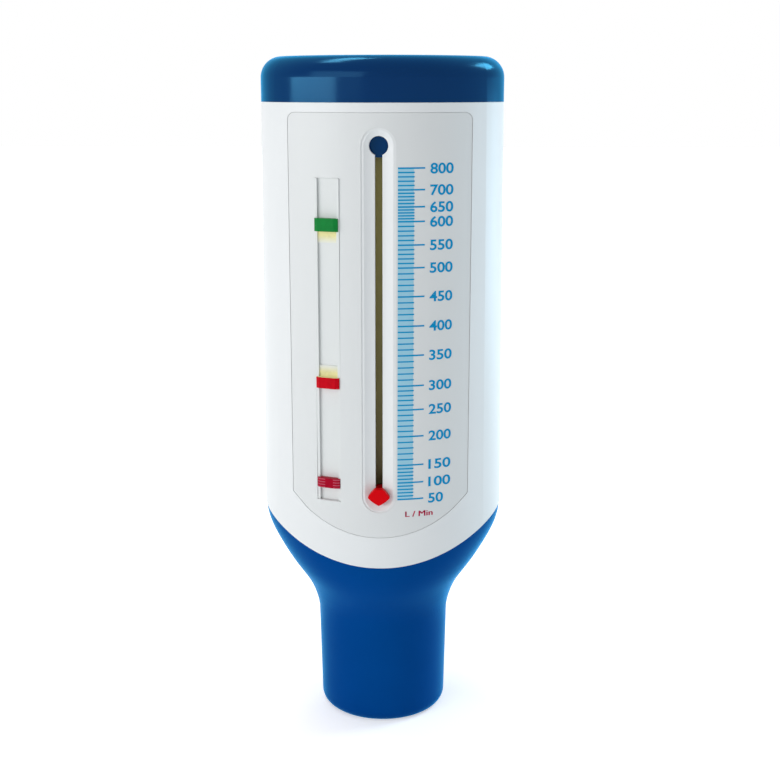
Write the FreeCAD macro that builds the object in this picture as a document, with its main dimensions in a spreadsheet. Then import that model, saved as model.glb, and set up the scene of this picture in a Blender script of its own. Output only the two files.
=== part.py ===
import FreeCAD, Part
import math
import os
from types import SimpleNamespace

import Sketcher
from FreeCAD import Placement, Rotation, Vector

# Peak flow meter: an oval casing with a pointer slot, held between a blue cap and a blue
# mouthpiece. Frame: +Z up along the mouthpiece bore, front face towards -Y, origin on the
# bore axis at the mouthpiece lip. Millimetres and degrees.

doc = FreeCAD.newDocument("PeakFlowMeter")
sheet = doc.addObject("Spreadsheet::Sheet", "Sizes")

DIMENSIONS = [
    # Margins of cutting shapes and overlaps of joined ones
    ("cutter_margin", 8.0),
    ("overcut", 1.0),
    ("overlap", 0.5),
    ("seat_gap", 0.05),
    # Casing
    ("casing_top_width", 54.4),
    ("casing_top_depth", 42.8),
    ("casing_draft", 0.56),
    ("casing_wall", 2.4),
    ("oval_end_share", 0.78),
    ("casing_head", 8.9),
    ("edge_drop", 10.56),
    ("edge_half_span", 28.6),
    ("vent_width", 16.0),
    ("vent_height", 2.2),
    ("vent_pitch", 5.0),
    ("vent_count", 5),
    ("vent_drop", 15.0),
    # Pointer slot and its scooped groove
    ("slot_width", 1.6),
    ("groove_width", 7.5),
    ("groove_depth", 1.3),
    ("hole_diameter", 4.1),
    ("hole_rise", 4.55),
    # Scale panel
    ("panel_half_width", 19.85),
    ("panel_top_gap", 2.1),
    ("panel_bottom_rise", 7.25),
    ("panel_bottom_drop", 5.6),
    ("panel_foot_chamfer", 3.3),
    ("panel_foot_rise", 3.1),
    ("panel_corner", 1.6),
    ("panel_thickness", 0.2),
    ("panel_sink", 0.05),
    ("panel_edge_gap", 0.05),
    # Zone marker track
    ("track_offset", 11.25),
    ("track_reach", 19.75),
    ("track_tilt", 19.4),
    ("track_half_width", 2.9),
    ("track_depth", 1.0),
    ("track_length", 71.8),
    ("track_rise", 4.64),
    ("rail_gap", 0.05),
    ("rail_wall", 0.3),
    ("rail_floor", 0.3),
    ("rail_lip", 0.35),
    ("rail_mouth_half_width", 2.25),
    ("marker_half_width", 2.7),
    ("marker_stand", 0.75),
    ("marker_height", 2.8),
    ("marker_tongue", 2.5),
    ("marker_play", 0.05),
    ("marker_facet", 0.8),
    ("marker_step", 0.3),
    ("green_marker_rise", 65.14),
    ("amber_marker_rise", 30.59),
    ("red_marker_rise", 7.74),
    # Top cap
    ("cap_height", 9.8),
    ("cap_edge_radius", 4.6),
    ("cap_wall", 2.0),
    ("skirt_wall", 1.4),
    ("skirt_gap", 0.1),
    ("snap_length", 8.0),
    ("snap_height", 1.2),
    ("snap_depth", 0.6),
    ("snap_rise", 4.8),
    ("bead_end_gap", 0.3),
    ("bead_side_gap", 0.1),
    ("bead_root", 0.8),
    # Mouthpiece
    ("mouthpiece_length", 24.9),
    ("mouthpiece_root_radius", 15.5),
    ("mouthpiece_lip_radius", 15.0),
    ("mouthpiece_bore_radius", 12.9),
    ("mouthpiece_bore_length", 22.0),
    ("lip_rounding_width", 1.7),
    ("lip_rounding_height", 2.6),
    ("shoulder_height", 27.56),
    ("shoulder_step", 0.25),
    ("shoulder_brow_rise", 21.6),
    ("shoulder_brow_share", 0.943),
    ("shoulder_waist_rise", 11.1),
    ("shoulder_waist_share", 0.5),
    ("shoulder_waist_depth_share", 0.81),
    ("shoulder_neck_rise", 5.1),
    ("shoulder_neck_share", 0.16),
    ("shoulder_neck_depth_share", 0.28),
    ("edge_gap", 0.08),
    ("spigot_rise", 6.94),
    ("spigot_wall", 1.6),
    ("spigot_root_drop", 6.46),
    ("spigot_floor_drop", 3.9),
    ("gate_left", 2.6),
    ("gate_right", 6.2),
    ("gate_reach", 16.5),
    ("collar_wall", 1.7),
    ("collar_length", 6.0),
    ("seat_rise", 19.1),
    ("seat_bore_step", 2.2),
    # Flow tube and its ends
    ("flow_tube_radius", 16.4),
    ("flow_tube_wall", 1.5),
    ("flow_slot_width", 2.0),
    ("metering_turn", 10.0),
    ("gasket_thickness", 0.6),
    ("gasket_gap", 0.1),
    ("spider_flange", 1.2),
    ("spider_ring_wall", 1.3),
    ("spider_ring_height", 2.0),
    ("spider_arm_width", 1.8),
    ("spider_hub_radius", 3.2),
    ("spider_hub_length", 6.4),
    ("spider_hub_rise", 0.2),
    ("spider_arm_count", 3),
    ("bulkhead_thickness", 2.0),
    ("bulkhead_spigot", 2.2),
    ("bulkhead_hub_length", 4.0),
    ("relief_hole_radius", 1.5),
    ("relief_circle_radius", 9.5),
    ("relief_hole_count", 6),
    # Guide rod, stops and spring
    ("rod_radius", 1.5),
    ("rod_end", 3.0),
    ("rod_groove_depth", 0.35),
    ("clip_thickness", 0.6),
    ("clip_radius", 3.0),
    ("lower_stop_thickness", 1.6),
    ("lower_stop_radius", 3.6),
    ("upper_stop_radius", 3.0),
    ("upper_stop_gap", 0.4),
    ("stop_headroom", 4.7),
    ("spring_seat_radius", 5.4),
    ("spring_seat_thickness", 0.8),
    ("spring_radius", 4.6),
    ("spring_wire", 0.5),
    ("spring_turns", 12),
    # Piston
    ("travel", 72.4),
    ("rest_gap", 0.3),
    ("piston_gap", 0.3),
    ("piston_thickness", 1.4),
    ("piston_rim_height", 2.4),
    ("piston_rim_wall", 0.8),
    ("bush_bore_gap", 0.1),
    ("bush_radius", 2.6),
    ("bush_flange_radius", 4.4),
    ("bush_flange", 1.1),
    ("bush_length", 9.6),
    ("push_nut_radius", 3.6),
    ("push_nut_thickness", 0.7),
    ("finger_root", 6.0),
    ("finger_width", 3.4),
    ("finger_thickness", 1.6),
    ("finger_neck", 1.2),
    ("finger_bore_gap", 1.0),
    ("finger_tube_gap", 0.4),
    ("finger_wall_gap", 0.9),
    ("finger_side_reach", 3.2),
    ("rivet_radius", 0.6),
    ("rivet_head_radius", 1.1),
    ("rivet_head", 0.4),
    ("rivet_pitch", 3.6),
    ("rivet_inset", 1.8),
    # Pointer
    ("pointer_rise", 6.29),
    ("pointer_width", 4.9),
    ("pointer_thickness", 1.5),
    ("pointer_top", 1.95),
    ("pointer_bottom", 1.85),
    ("pointer_neck_width", 1.3),
    ("pointer_neck_height", 1.45),
    ("pointer_neck_join", 0.2),
    ("pointer_crown", 0.25),
    ("pointer_bulge", 1.6),
    ("pointer_foot_radius", 1.65),
    ("pointer_foot_thickness", 1.1),
    ("pointer_gap", 0.3),
    ("washer_radius", 1.35),
    ("washer_bore", 1.0),
    ("washer_thickness", 0.3),
]


class Size:
    """A number together with the sheet expression that gives it."""

    def __init__(self, value, text):
        self.value = float(value)
        self.text = text

    def __add__(self, other):
        other = size(other)
        return Size(self.value + other.value, f"({self.text} + {other.text})")

    def __sub__(self, other):
        other = size(other)
        return Size(self.value - other.value, f"({self.text} - {other.text})")

    def __mul__(self, other):
        other = size(other)
        return Size(self.value * other.value, f"({self.text} * {other.text})")

    def __truediv__(self, other):
        other = size(other)
        return Size(self.value / other.value, f"({self.text} / {other.text})")

    def __neg__(self):
        return Size(-self.value, f"(-1 * {self.text})")

    def __rsub__(self, other):
        return size(other) - self

    __radd__ = __add__
    __rmul__ = __mul__


def size(number):
    return number if isinstance(number, Size) else Size(number, repr(float(number)))


def tangent(angle):
    return Size(math.tan(math.radians(angle.value)), f"tan({angle.text} * 1 deg)")


for row, (name, value) in enumerate(DIMENSIONS, start=1):
    sheet.set(f"A{row}", name)
    sheet.set(f"B{row}", str(value))
    sheet.setAlias(f"B{row}", name)
doc.recompute()
s = SimpleNamespace(**{name: Size(value, f"Sizes.{name}") for name, value in DIMENSIONS})

# Levels above the mouthpiece lip
side_edge = s.mouthpiece_length + s.shoulder_height
edge_low = side_edge - s.edge_drop
seat = s.mouthpiece_length + s.seat_rise
spider_base = seat + s.gasket_thickness
tube_base = spider_base + s.spider_flange
hub_top = tube_base + s.spider_ring_height + s.spider_hub_rise
lower_stop_top = hub_top + s.lower_stop_thickness
bush_base = lower_stop_top + s.rest_gap
disc_base = bush_base + s.bush_flange
disc_top = disc_base + s.piston_thickness
bush_top = bush_base + s.bush_length
pointer_rest = side_edge + s.pointer_rise
pointer_max = pointer_rest + s.travel
hole_height = pointer_max + s.hole_rise
casing_top = hole_height + s.casing_head
cap_top = casing_top + s.cap_height
skirt_base = pointer_max + s.pointer_foot_radius + s.upper_stop_gap
upper_stop_base = bush_top + s.travel + s.upper_stop_gap
tube_top = upper_stop_base + s.stop_headroom
bulkhead_top = tube_top + s.bulkhead_thickness
spring_top = tube_top - s.spring_seat_thickness
track_base = side_edge + s.track_rise
track_top = track_base + s.track_length
snap_height = skirt_base + s.snap_rise
rod_base = hub_top - s.spider_hub_length - s.rod_end
rod_top = bulkhead_top + s.bulkhead_hub_length + s.rod_end

# Half sizes of the casing's oval, which widens downwards by its draft
top_half_width = s.casing_top_width / 2
top_half_depth = s.casing_top_depth / 2
inner_half_width = top_half_width - s.casing_wall
inner_half_depth = top_half_depth - s.casing_wall
front_plane = top_half_depth + s.cutter_margin
through = front_plane * 2
half_groove = s.groove_width / 2
scoop_radius = (half_groove * half_groove + s.groove_depth * s.groove_depth) / (s.groove_depth * 2)
edge_radius = (s.edge_half_span * s.edge_half_span + s.edge_drop * s.edge_drop) / (s.edge_drop * 2)
tube_bore = s.flow_tube_radius - s.flow_tube_wall
seat_bore_radius = s.flow_tube_radius - s.seat_bore_step

# The oval's four arcs: two ends on the X axis and two flats across the Y axis
end_radius = top_half_depth * s.oval_end_share
end_shift = top_half_width - end_radius
flat_radius = ((end_shift * end_shift + top_half_depth * top_half_depth - end_radius * end_radius)
               / ((top_half_depth - end_radius) * 2))
flat_shift = flat_radius - top_half_depth

SPRING_STEPS = 12

nodes = []


def spread_at(level):
    """How much wider than its top the casing is at a level, on each side."""
    return (casing_top - level) * tangent(s.casing_draft)


rest_depth = top_half_depth + spread_at(pointer_rest)
groove_axis = rest_depth - s.groove_depth + scoop_radius


def new_body(label, is_node=True):
    body = doc.addObject("PartDesign::Body", label)
    body.Label = label
    if is_node:
        nodes.append(body)
    return body


def place(body, x=0, y=0, z=0, turn=None):
    """Set a body's Placement and bind it to the sheet."""
    spots = {"x": size(x), "y": size(y), "z": size(z)}
    angle = size(turn) if turn is not None else size(0)
    rotation = Rotation(Vector(0, 0, 1), angle.value)
    body.Placement = Placement(Vector(*(spot.value for spot in spots.values())), rotation)
    for axis, spot in spots.items():
        body.setExpression(f"Placement.Base.{axis}", spot.text)
    if turn is not None:
        body.setExpression("Placement.Rotation.Angle", f"{angle.text} * 1 deg")


def new_sketch(body, name, role, offset=0, x=0, y=0, turn=None):
    """A sketch on an origin plane of its own body, moved along the plane's normal."""
    sketch = body.newObject("Sketcher::SketchObject", name)
    plane = next(item for item in body.Origin.OriginFeatures if item.Role == role)
    sketch.AttachmentSupport = (plane, [""])
    sketch.MapMode = "FlatFace"
    spots = {"x": size(x), "y": size(y), "z": size(offset)}
    angle = size(turn) if turn is not None else size(0)
    rotation = Rotation(Vector(0, 0, 1), angle.value)
    sketch.AttachmentOffset = Placement(Vector(*(spot.value for spot in spots.values())), rotation)
    for axis, spot in spots.items():
        sketch.setExpression(f"AttachmentOffset.Base.{axis}", spot.text)
    if turn is not None:
        sketch.setExpression("AttachmentOffset.Rotation.Angle", f"{angle.text} * 1 deg")
    return sketch


def bind(sketch, kind, arguments, value):
    index = sketch.addConstraint(Sketcher.Constraint(kind, *arguments, value.value))
    sketch.setExpression(f"Constraints[{index}]", value.text)


def pin_point(sketch, geometry, position, x, y):
    """Fix one point of the sketch by its distances from the origin."""
    for kind, axis, value in (("DistanceX", -2, size(x)), ("DistanceY", -1, size(y))):
        if value.text == "0.0":
            sketch.addConstraint(Sketcher.Constraint("PointOnObject", geometry, position, axis))
        else:
            bind(sketch, kind, (-1, 1, geometry, position), value)


def add_circle(sketch, radius, x=0, y=0):
    radius = size(radius)
    centre = Vector(size(x).value, size(y).value, 0)
    index = sketch.addGeometry(Part.Circle(centre, Vector(0, 0, 1), radius.value), False)
    pin_point(sketch, index, 3, x, y)
    bind(sketch, "Radius", (index,), radius)


def add_oval(sketch, inset=0):
    """The casing's top oval, four tangent arcs, inset all round by a wall or a gap."""
    end = end_radius - inset
    flat = flat_radius - inset
    lean = math.atan2(flat_shift.value, end_shift.value)
    arcs = [(end_shift, 0, end, -lean, lean), (0, -flat_shift, flat, lean, math.pi - lean),
            (-end_shift, 0, end, math.pi - lean, math.pi + lean),
            (0, flat_shift, flat, math.pi + lean, -lean)]
    first = sketch.GeometryCount
    for x, y, radius, start, stop in arcs:
        circle = Part.Circle(Vector(size(x).value, size(y).value, 0), Vector(0, 0, 1), radius.value)
        sketch.addGeometry(Part.ArcOfCircle(circle, start, stop), False)
    for number, (x, y, radius, _, _) in enumerate(arcs):
        index = first + number
        follower = first + (number + 1) % 4
        sketch.addConstraint(Sketcher.Constraint("Tangent", index, 2, follower, 1))
        bind(sketch, "Radius", (index,), radius)
        if number % 2 == 0:
            pin_point(sketch, index, 3, x, y)


def add_ellipse(sketch, half_x, half_y):
    """An ellipse about the sketch's origin, wider than it is high."""
    points = (Vector(half_x.value, 0, 0), Vector(0, half_y.value, 0), Vector(0, 0, 0))
    index = sketch.addGeometry(Part.Ellipse(*points), False)
    sketch.exposeInternalGeometry(index)
    sketch.addConstraint(Sketcher.Constraint("Coincident", index, 3, -1, 1))
    sketch.addConstraint(Sketcher.Constraint("Horizontal", index + 1))
    bind(sketch, "Distance", (index + 1,), half_x * 2)
    bind(sketch, "Distance", (index + 2,), half_y * 2)


def arc_edge(start, end, radius, side):
    """Arc of a radius from start to end, its centre on the left (side 1) or right (-1)."""
    middle = (start + end) * 0.5
    chord = end - start
    rise = math.sqrt(max(radius * radius - chord.Length * chord.Length / 4, 0))
    left = Vector(-chord.y, chord.x, 0).normalize()
    centre = middle + left * (rise * side)
    first, last = (start, end) if side > 0 else (end, start)
    first_angle = math.atan2(first.y - centre.y, first.x - centre.x)
    last_angle = math.atan2(last.y - centre.y, last.x - centre.x)
    return Part.ArcOfCircle(Part.Circle(centre, Vector(0, 0, 1), radius), first_angle, last_angle)


def add_outline(sketch, points, arcs=None):
    """A closed outline; arcs maps a point's number to (radius, side) of the edge after it."""
    arcs = arcs or {}
    corners = [Vector(size(x).value, size(y).value, 0) for x, y in points]
    ends = []
    for number, start in enumerate(corners):
        end = corners[(number + 1) % len(corners)]
        if number in arcs:
            radius, side = arcs[number]
            index = sketch.addGeometry(arc_edge(start, end, size(radius).value, side), False)
            ends.append((index, 1, 2) if side > 0 else (index, 2, 1))
        else:
            index = sketch.addGeometry(Part.LineSegment(start, end), False)
            ends.append((index, 1, 2))
    for number, (index, first, last) in enumerate(ends):
        following, next_first, _ = ends[(number + 1) % len(ends)]
        sketch.addConstraint(Sketcher.Constraint("Coincident", index, last, following, next_first))
    for (index, first, _), (x, y) in zip(ends, points):
        pin_point(sketch, index, first, x, y)
    for number, (radius, _) in arcs.items():
        chord = corners[(number + 1) % len(corners)] - corners[number]
        if chord.Length < size(radius).value * 1.999:
            bind(sketch, "Radius", (ends[number][0],), size(radius))
            continue
        # A half circle is fixed by its centre, midway between its ends
        (x_first, y_first), (x_last, y_last) = points[number], points[(number + 1) % len(points)]
        if abs(chord.x) > abs(chord.y):
            bind(sketch, "DistanceY", (-1, 1, ends[number][0], 3), (size(y_first) + y_last) / 2)
        else:
            bind(sketch, "DistanceX", (-1, 1, ends[number][0], 3), (size(x_first) + x_last) / 2)


def add_rectangle(sketch, x_low, x_high, y_low, y_high):
    add_outline(sketch, [(x_low, y_low), (x_high, y_low), (x_high, y_high), (x_low, y_high)])


def add_obround(sketch, x, half_width, low, high):
    """An upright slot with round ends whose centres lie at low and high."""
    left, right = size(x) - half_width, size(x) + half_width
    points = [(left, high), (left, low), (right, low), (right, high)]
    add_outline(sketch, points, {1: (half_width, 1), 3: (half_width, 1)})


def feature(body, kind, name, profile, **settings):
    item = body.newObject(kind, name)
    item.Profile = profile
    for key, value in settings.items():
        if isinstance(value, Size):
            setattr(item, key, value.value)
            item.setExpression(key, value.text)
        else:
            setattr(item, key, value)
    profile.Visibility = False
    return item


def pad(body, name, profile, length, **settings):
    return feature(body, "PartDesign::Pad", name, profile, Length=size(length), **settings)


def pocket(body, name, profile, length, **settings):
    return feature(body, "PartDesign::Pocket", name, profile, Length=size(length), **settings)


def revolve(body, name, profile, kind="PartDesign::Revolution"):
    return feature(body, kind, name, profile, ReferenceAxis=(profile, ["V_Axis"]), Angle=360.0)


def loft(body, name, sections, kind="PartDesign::AdditiveLoft", ruled=True):
    item = feature(body, kind, name, sections[0], Ruled=ruled)
    item.Sections = sections[1:]
    return item


def drafted_oval(body, name, inset, kind="PartDesign::Pad"):
    """The casing's outside, inset all round, from its top down past its lower edge."""
    profile = new_sketch(body, f"{name}_profile", "XY_Plane", offset=casing_top)
    add_oval(profile, inset)
    down = kind == "PartDesign::Pad"
    return feature(body, kind, name, profile, Length=casing_top - edge_low + s.overcut, Reversed=down,
                   TaperAngle=s.casing_draft)


def ring(body, name, outer, inner, base, height):
    """A round ring or disc standing on a level; inner may be None."""
    profile = new_sketch(body, f"{name}_profile", "XY_Plane", offset=base)
    add_circle(profile, outer)
    if inner is not None:
        add_circle(profile, inner)
    return pad(body, name, profile, height)


def front_cut(body, name, draw, depth):
    """A pocket into the front, from a plane just before the casing."""
    profile = new_sketch(body, f"{name}_profile", "XZ_Plane", offset=front_plane)
    draw(profile)
    return pocket(body, name, profile, depth)


def edge_arch(gap, upward):
    """Outline below (or above) the casing's lower edge, which drops in an arc at the front."""
    far = top_half_width + s.cutter_margin
    level = side_edge - gap
    reach = casing_top if upward else -s.mouthpiece_length
    points = [(-far, level), (-s.edge_half_span, level), (s.edge_half_span, level), (far, level),
              (far, reach), (-far, reach)]
    return points, {1: (edge_radius, 1)}


def track_cut(body, name):
    """The recess that the marker rail and the markers lie in."""
    profile = new_sketch(body, f"{name}_profile", "XY_Plane", offset=track_top,
                         x=-s.track_offset, y=-s.track_reach, turn=-s.track_tilt)
    add_rectangle(profile, -s.track_half_width, s.track_half_width, -s.track_reach / 4, s.track_depth)
    return pocket(body, name, profile, s.track_length)


def panel_outline(gap):
    """The scale panel's outline: rounded top corners, and an arched foot with cut corners."""
    half = s.panel_half_width + gap
    foot_half = half - s.panel_foot_chamfer
    drop = s.panel_bottom_drop
    foot = edge_low + s.panel_bottom_rise - gap
    side_end = foot + drop + s.panel_foot_rise
    top = casing_top - s.panel_top_gap + gap
    corner = s.panel_corner + gap
    radius = (foot_half * foot_half + drop * drop) / (drop * 2)
    points = [(-foot_half, foot + drop), (foot_half, foot + drop), (half, side_end),
              (half, top - corner), (half - corner, top), (corner - half, top),
              (-half, top - corner), (-half, side_end)]
    return points, {0: (radius, 1), 3: (corner, 1), 5: (corner, 1)}


def panel_film(label, outer_inset, inner_inset, gap, is_node):
    """A curved film that follows the casing's front inside the panel's outline."""
    body = new_body(label, is_node)
    drafted_oval(body, "film_outside", outer_inset)
    drafted_oval(body, "film_inside", inner_inset, "PartDesign::Pocket")
    trim = new_sketch(body, "film_trim_profile", "XZ_Plane", offset=front_plane)
    far = top_half_width + s.cutter_margin
    add_rectangle(trim, -far, far, 0, cap_top)
    add_outline(trim, *panel_outline(gap))
    pocket(body, "film_trim", trim, through)
    back = new_sketch(body, "film_back_profile", "XZ_Plane")
    add_rectangle(back, -far, far, 0, cap_top)
    pocket(body, "film_back", back, front_plane)
    return body


def add_beads(body, level):
    """A snap bead on each side of a skirt that stands inside the casing."""
    wall = inner_half_width - s.skirt_gap
    half = s.snap_length / 2 - s.bead_end_gap
    thickness = s.snap_height / 2 - s.bead_side_gap
    for side, sign in (("right", 1), ("left", -1)):
        root = (wall - s.bead_root) * sign
        profile = new_sketch(body, f"bead_{side}_profile", "YZ_Plane", offset=root)
        add_rectangle(profile, -half, half, level - thickness, level + thickness)
        pad(body, f"bead_{side}", profile, s.snap_depth + s.bead_root, Reversed=sign < 0)


def make_outer_casing():
    """The white oval sleeve, with groove, slot, assembly hole, panel recess and rear vents."""
    body = new_body("casing_moulding", is_node=False)
    drafted_oval(body, "outside", size(0))
    inside = new_sketch(body, "inside_profile", "XY_Plane", offset=casing_top)
    add_oval(inside, s.casing_wall)
    pocket(body, "inside", inside, casing_top - edge_low + s.overcut * 2)
    front_cut(body, "lower_edge", lambda sketch: add_outline(sketch, *edge_arch(size(0), False)),
              through)

    # Scooped groove: a capsule cut along the face, its axis in front of it
    scoop = new_sketch(body, "groove_profile", "YZ_Plane", x=-groove_axis, y=pointer_rest,
                       turn=-s.casing_draft)
    length = hole_height - pointer_rest
    points = [(0, -scoop_radius), (scoop_radius, 0), (scoop_radius, length),
              (0, length + scoop_radius)]
    add_outline(scoop, points, {0: (scoop_radius, 1), 2: (scoop_radius, 1)})
    revolve(body, "groove", scoop, "PartDesign::Groove")

    half_slot = s.slot_width / 2
    slot_base = pointer_rest - s.pointer_neck_height / 2 - s.pointer_gap
    front_cut(body, "slot",
              lambda sketch: add_rectangle(sketch, -half_slot, half_slot, slot_base, hole_height),
              front_plane / 2)
    front_cut(body, "assembly_hole",
              lambda sketch: add_circle(sketch, s.hole_diameter / 2, 0, hole_height),
              front_plane / 2)
    track_cut(body, "track")

    # Rear vents: rounded slots in a column
    vent = new_sketch(body, "vent_profile", "XZ_Plane")
    vent_radius = s.vent_height / 2
    vent_side = s.vent_width / 2 - vent_radius
    vent_low = casing_top - s.vent_drop - vent_radius
    vent_high = vent_low + s.vent_height
    points = [(-vent_side, vent_low), (vent_side, vent_low), (vent_side, vent_high),
              (-vent_side, vent_high)]
    add_outline(vent, points, {1: (vent_radius, 1), 3: (vent_radius, 1)})
    first = pocket(body, "vent", vent, front_plane)
    vents = body.newObject("PartDesign::LinearPattern", "vents")
    vents.Originals = [first]
    vents.Direction = (vent, ["V_Axis"])
    vents.Reversed = True
    vents.Length = (s.vent_pitch * (s.vent_count - 1)).value
    vents.setExpression("Length", (s.vent_pitch * (s.vent_count - 1)).text)
    vents.Occurrences = int(s.vent_count.value)
    vents.setExpression("Occurrences", s.vent_count.text)
    body.Tip = vents

    # Snap grooves inside both ends
    for label, level in (("cap", snap_height), ("spigot", side_edge + s.spigot_rise / 2)):
        for side, sign in (("right", 1), ("left", -1)):
            face = inner_half_width + s.snap_depth
            profile = new_sketch(body, f"{label}_snap_{side}_profile", "YZ_Plane", offset=face * sign)
            half = s.snap_length / 2
            add_rectangle(profile, -half, half, level - s.snap_height / 2, level + s.snap_height / 2)
            pocket(body, f"{label}_snap_{side}", profile, 2 * s.casing_wall, Reversed=sign < 0)

    recess = panel_film("panel_recess", -s.overcut, s.panel_sink + s.panel_thickness,
                        s.panel_edge_gap, is_node=False)
    casing = doc.addObject("Part::Cut", "outer_casing")
    casing.Label = "outer_casing"
    casing.Base = body
    casing.Tool = recess
    nodes.append(casing)


def make_scale_panel():
    """The printed film in the casing's front, cut out round the groove and the track."""
    body = panel_film("scale_panel", s.panel_sink, s.panel_sink + s.panel_thickness, size(0), True)
    front_cut(body, "groove_window",
              lambda sketch: add_obround(sketch, 0, half_groove, pointer_rest, hole_height), through / 2)
    track_cut(body, "track_window")


def make_top_cap():
    """The blue cap: rounded crown, skirt inside the casing, boss on the bulkhead, snap beads."""
    body = new_body("top_cap")
    crown = new_sketch(body, "crown_profile", "XY_Plane", offset=casing_top)
    add_oval(crown)
    block = pad(body, "crown", crown, s.cap_height)
    doc.recompute()
    crown_edges = [f"Edge{number}" for number, edge in enumerate(block.Shape.Edges, start=1)
                   if edge.BoundBox.ZMin > casing_top.value + s.cap_height.value / 2]
    rounding = body.newObject("PartDesign::Fillet", "crown_rounding")
    rounding.Base = (block, crown_edges)
    rounding.Radius = s.cap_edge_radius.value
    rounding.setExpression("Radius", s.cap_edge_radius.text)

    hollow = new_sketch(body, "hollow_profile", "XY_Plane", offset=cap_top - s.cap_wall)
    add_oval(hollow, s.cap_edge_radius)
    pocket(body, "hollow", hollow, s.cap_height)

    skirt = new_sketch(body, "skirt_profile", "XY_Plane", offset=skirt_base)
    add_oval(skirt, s.casing_wall + s.skirt_gap)
    add_oval(skirt, s.casing_wall + s.skirt_gap + s.skirt_wall)
    pad(body, "skirt", skirt, casing_top + s.overcut - skirt_base)
    ring(body, "boss", s.flow_tube_radius - s.overlap, tube_bore - s.overlap, bulkhead_top,
         cap_top - s.cap_wall - bulkhead_top + s.overlap)

    add_beads(body, snap_height)


def make_mouthpiece():
    """The blue mouthpiece: oval shoulder, round tube, spigot into the casing, collar inside."""
    body = new_body("mouthpiece")
    root = s.mouthpiece_root_radius
    spread = spread_at(side_edge)
    wide = top_half_width + spread - s.shoulder_step
    deep = top_half_depth + spread - s.shoulder_step
    levels = [(side_edge + s.overlap, size(1), size(1)),
              (s.mouthpiece_length + s.shoulder_brow_rise, s.shoulder_brow_share, size(1)),
              (s.mouthpiece_length + s.shoulder_waist_rise, s.shoulder_waist_share,
               s.shoulder_waist_depth_share),
              (s.mouthpiece_length + s.shoulder_neck_rise, s.shoulder_neck_share,
               s.shoulder_neck_depth_share)]
    sections = []
    for number, (level, share_x, share_y) in enumerate(levels):
        section = new_sketch(body, f"shoulder_section_{number}", "XY_Plane", offset=level)
        add_ellipse(section, root + (wide - root) * share_x, root + (deep - root) * share_y)
        sections.append(section)
    foot = new_sketch(body, "shoulder_foot", "XY_Plane", offset=s.mouthpiece_length)
    add_circle(foot, root)
    sections.append(foot)
    loft(body, "shoulder", sections, ruled=False)
    front_cut(body, "shoulder_edge", lambda sketch: add_outline(sketch, *edge_arch(s.edge_gap, True)),
              through)

    # Spigot: a round root inside the shoulder, then an oval skirt up the casing's inside
    spigot_top = side_edge + s.spigot_rise
    wide_base = side_edge - s.spigot_root_drop
    floor = edge_low - s.spigot_floor_drop
    fit = s.casing_wall + s.skirt_gap
    ring(body, "spigot_root", inner_half_depth - s.skirt_gap, None, floor,
         wide_base + s.overcut - floor)
    outside = new_sketch(body, "spigot_profile", "XY_Plane", offset=wide_base)
    add_oval(outside, fit)
    pad(body, "spigot", outside, spigot_top - wide_base)
    hollow = new_sketch(body, "hollow_profile", "XY_Plane", offset=spigot_top)
    add_oval(hollow, fit + s.spigot_wall)
    pocket(body, "hollow", hollow, spigot_top - wide_base - s.spigot_wall)

    collar_top = tube_base + s.collar_length
    collar_base = floor - s.overlap
    ring(body, "collar", s.flow_tube_radius + s.collar_wall, None, collar_base, collar_top - collar_base)

    # Round tube below the shoulder, then the airway through everything
    lip = s.mouthpiece_lip_radius
    tube = new_sketch(body, "tube_profile", "XZ_Plane")
    across = s.lip_rounding_width
    rise = s.lip_rounding_height
    round_lip = (across * across + rise * rise) / (across * 2)
    points = [(0, 0), (lip - across, 0), (lip, rise), (root, s.mouthpiece_length),
              (0, s.mouthpiece_length)]
    add_outline(tube, points, {1: (round_lip, 1)})
    revolve(body, "tube", tube)
    bore = s.mouthpiece_bore_radius
    airway = new_sketch(body, "airway_profile", "XZ_Plane")
    socket = s.flow_tube_radius + s.seat_gap
    above = collar_top + s.overcut
    points = [(0, -s.overcut), (bore, -s.overcut), (bore, s.mouthpiece_bore_length),
              (seat_bore_radius, seat), (socket, seat), (socket, above), (0, above)]
    add_outline(airway, points)
    revolve(body, "airway", airway, "PartDesign::Groove")

    # Gate: lets the piston's finger and the pointer's foot through the spigot's front
    gate = (-s.gate_left, s.gate_right, collar_top, spigot_top + s.overcut)
    front_cut(body, "finger_gate", lambda sketch: add_rectangle(sketch, *gate),
              front_plane - s.gate_reach)
    add_beads(body, side_edge + s.spigot_rise / 2)


def make_flow_tube():
    """The round tube that the piston runs in, its metering slot beside the pointer's slot."""
    body = new_body("flow_tube")
    place(body, turn=s.metering_turn)
    ring(body, "wall", s.flow_tube_radius, tube_bore, tube_base, tube_top - tube_base)
    half = s.flow_slot_width / 2
    low = disc_top - s.overcut
    high = disc_top + s.finger_thickness + s.travel + s.overcut
    front_cut(body, "metering_slot", lambda sketch: add_rectangle(sketch, -half, half, low, high),
              front_plane - tube_bore / 2)


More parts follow.
